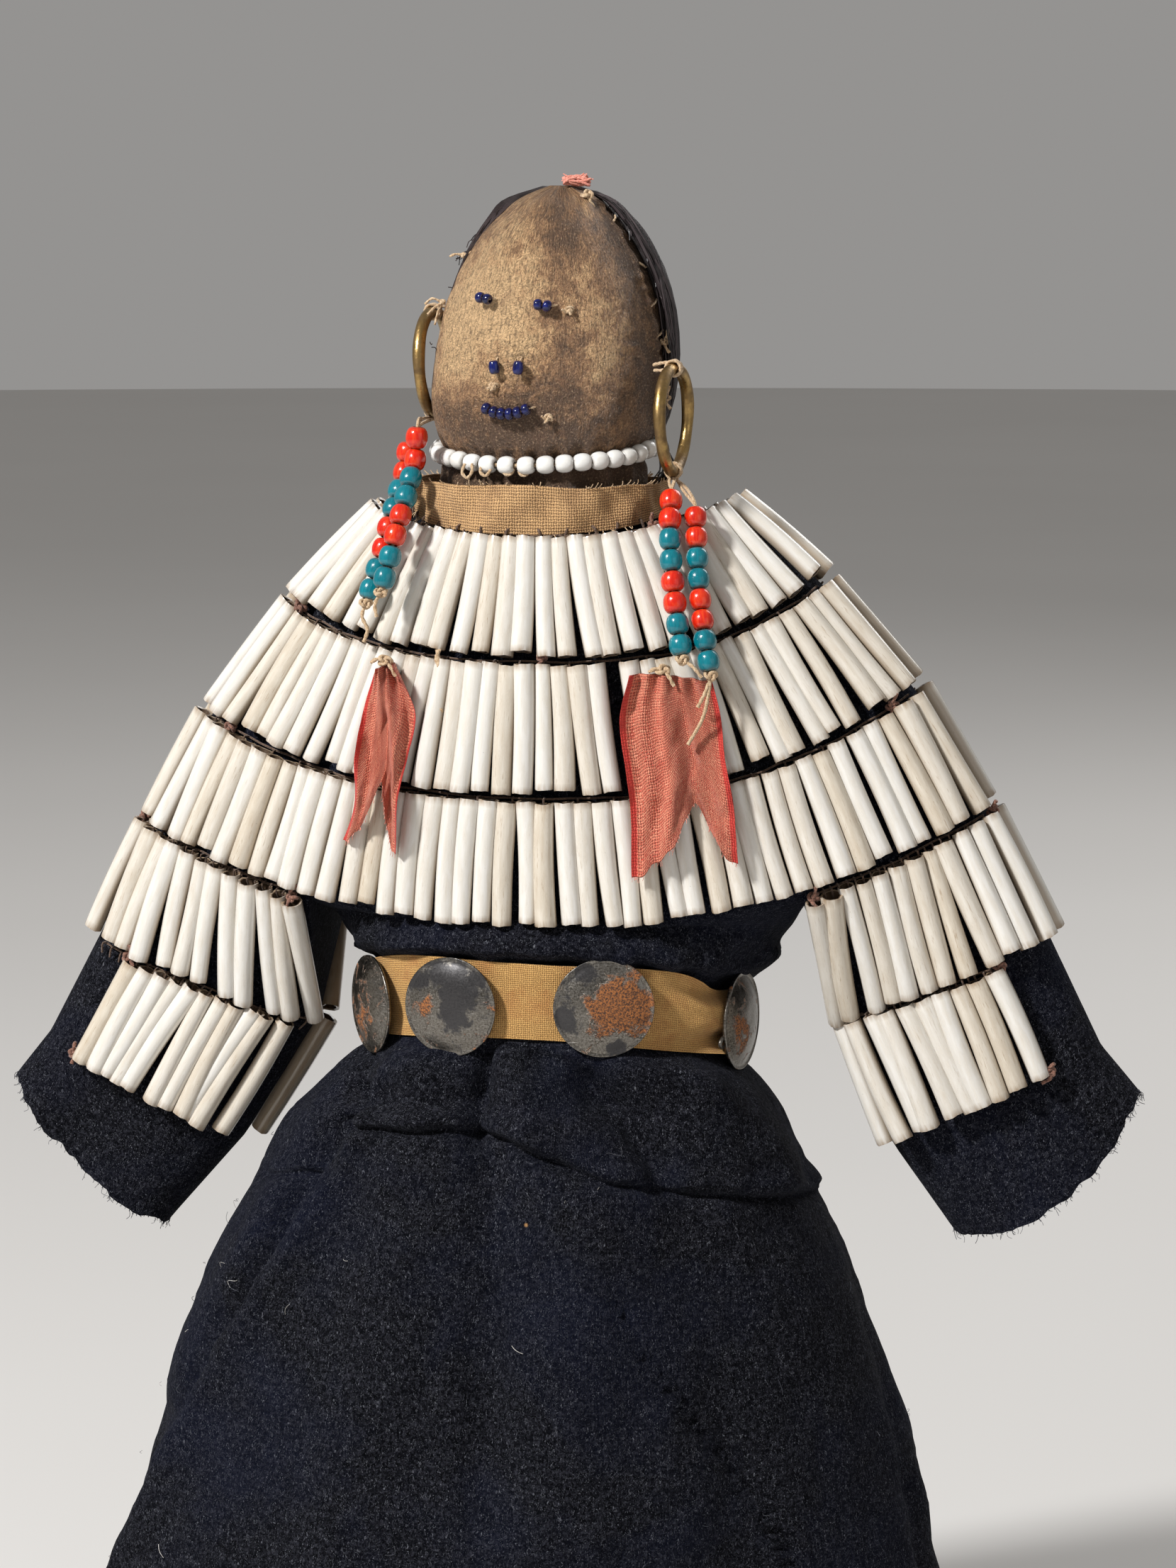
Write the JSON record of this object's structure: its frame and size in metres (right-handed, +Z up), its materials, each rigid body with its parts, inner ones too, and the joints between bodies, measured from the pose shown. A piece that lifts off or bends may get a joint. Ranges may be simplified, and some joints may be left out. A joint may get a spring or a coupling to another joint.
{
  "type": "beaded hide doll",
  "caption": "Standing doll with a stuffed hide head and bead face, in a navy wool dress with rows of tusk shells, a belt with metal discs, hoop earrings and bead drops.",
  "frame": {"origin": "on the floor, under the middle of the doll's bounding box", "axes": "+Z up, the doll faces -Y, and its own left hand is at +X"},
  "size_m": [0.25, 0.1241, 0.3694],
  "materials": {
    "tusk_shell": "smooth white to beige tusk shell with brown grime in its grooves",
    "wool_cloth": "felted navy-black wool with lint",
    "red_glass": "opaque glossy red-orange glass",
    "teal_glass": "glossy teal glass",
    "rusty_steel": "tarnished steel with rust patches",
    "aged_brass": "aged brass",
    "cobalt_glass": "glossy cobalt blue glass",
    "hide": "mottled brown rawhide with a suede nap",
    "dark_hair": "dark hair strands with a soft sheen",
    "pink_yarn": "salmon wool yarn",
    "white_glass": "opaque white glass",
    "tan_gauze": "coarse tan gauze",
    "cotton_tape": "ochre cotton tape, stained",
    "coral_ribbon": "coral taffeta with cream flecks"
  },
  "bodies": {
    "root": {"belt": "cotton_tape", "collar": "tan_gauze", "concho_back_left": "rusty_steel", "concho_back_middle": "rusty_steel", "concho_back_right": "rusty_steel", "concho_front_left": "rusty_steel", "concho_front_right": "rusty_steel", "concho_side_left": "rusty_steel", "concho_side_right": "rusty_steel", "dress_skirt": "wool_cloth", "dress_sleeve_left": "wool_cloth", "dress_sleeve_right": "wool_cloth", "dress_yoke": "wool_cloth", "drop_left_inner_lower_red": "red_glass", "drop_left_inner_lower_teal": "teal_glass", "drop_left_inner_upper_red": "red_glass", "drop_left_inner_upper_teal": "teal_glass", "drop_left_outer_lower_red": "red_glass", "drop_left_outer_lower_teal": "teal_glass", "drop_left_outer_upper_red": "red_glass", "drop_left_outer_upper_teal": "teal_glass", "drop_right_back_lower_red": "red_glass", "drop_right_back_lower_teal": "teal_glass", "drop_right_back_upper_red": "red_glass", "drop_right_back_upper_teal": "teal_glass", "drop_right_front_lower_red": "red_glass", "drop_right_front_lower_teal": "teal_glass", "drop_right_front_upper_red": "red_glass", "drop_right_front_upper_teal": "teal_glass", "earring_left": "aged_brass", "earring_right": "aged_brass", "eye_beads_left": "cobalt_glass", "eye_beads_right": "cobalt_glass", "hair": "dark_hair", "hair_tie": "pink_yarn", "head": "hide", "mouth_beads": "cobalt_glass", "necklace": "white_glass", "nose_bead_left": "cobalt_glass", "nose_bead_right": "cobalt_glass", "ribbon_left": "coral_ribbon", "ribbon_right": "coral_ribbon", "shell_row_1_back": "tusk_shell", "shell_row_1_front": "tusk_shell", "shell_row_2_back": "tusk_shell", "shell_row_2_front": "tusk_shell", "shell_row_3_back": "tusk_shell", "shell_row_3_front": "tusk_shell", "shell_row_4_left_back": "tusk_shell", "shell_row_4_left_front": "tusk_shell", "shell_row_4_right_back": "tusk_shell", "shell_row_4_right_front": "tusk_shell", "shell_row_5_left_back": "tusk_shell", "shell_row_5_left_front": "tusk_shell", "shell_row_5_right_back": "tusk_shell", "shell_row_5_right_front": "tusk_shell"}
  },
  "joints": []
}
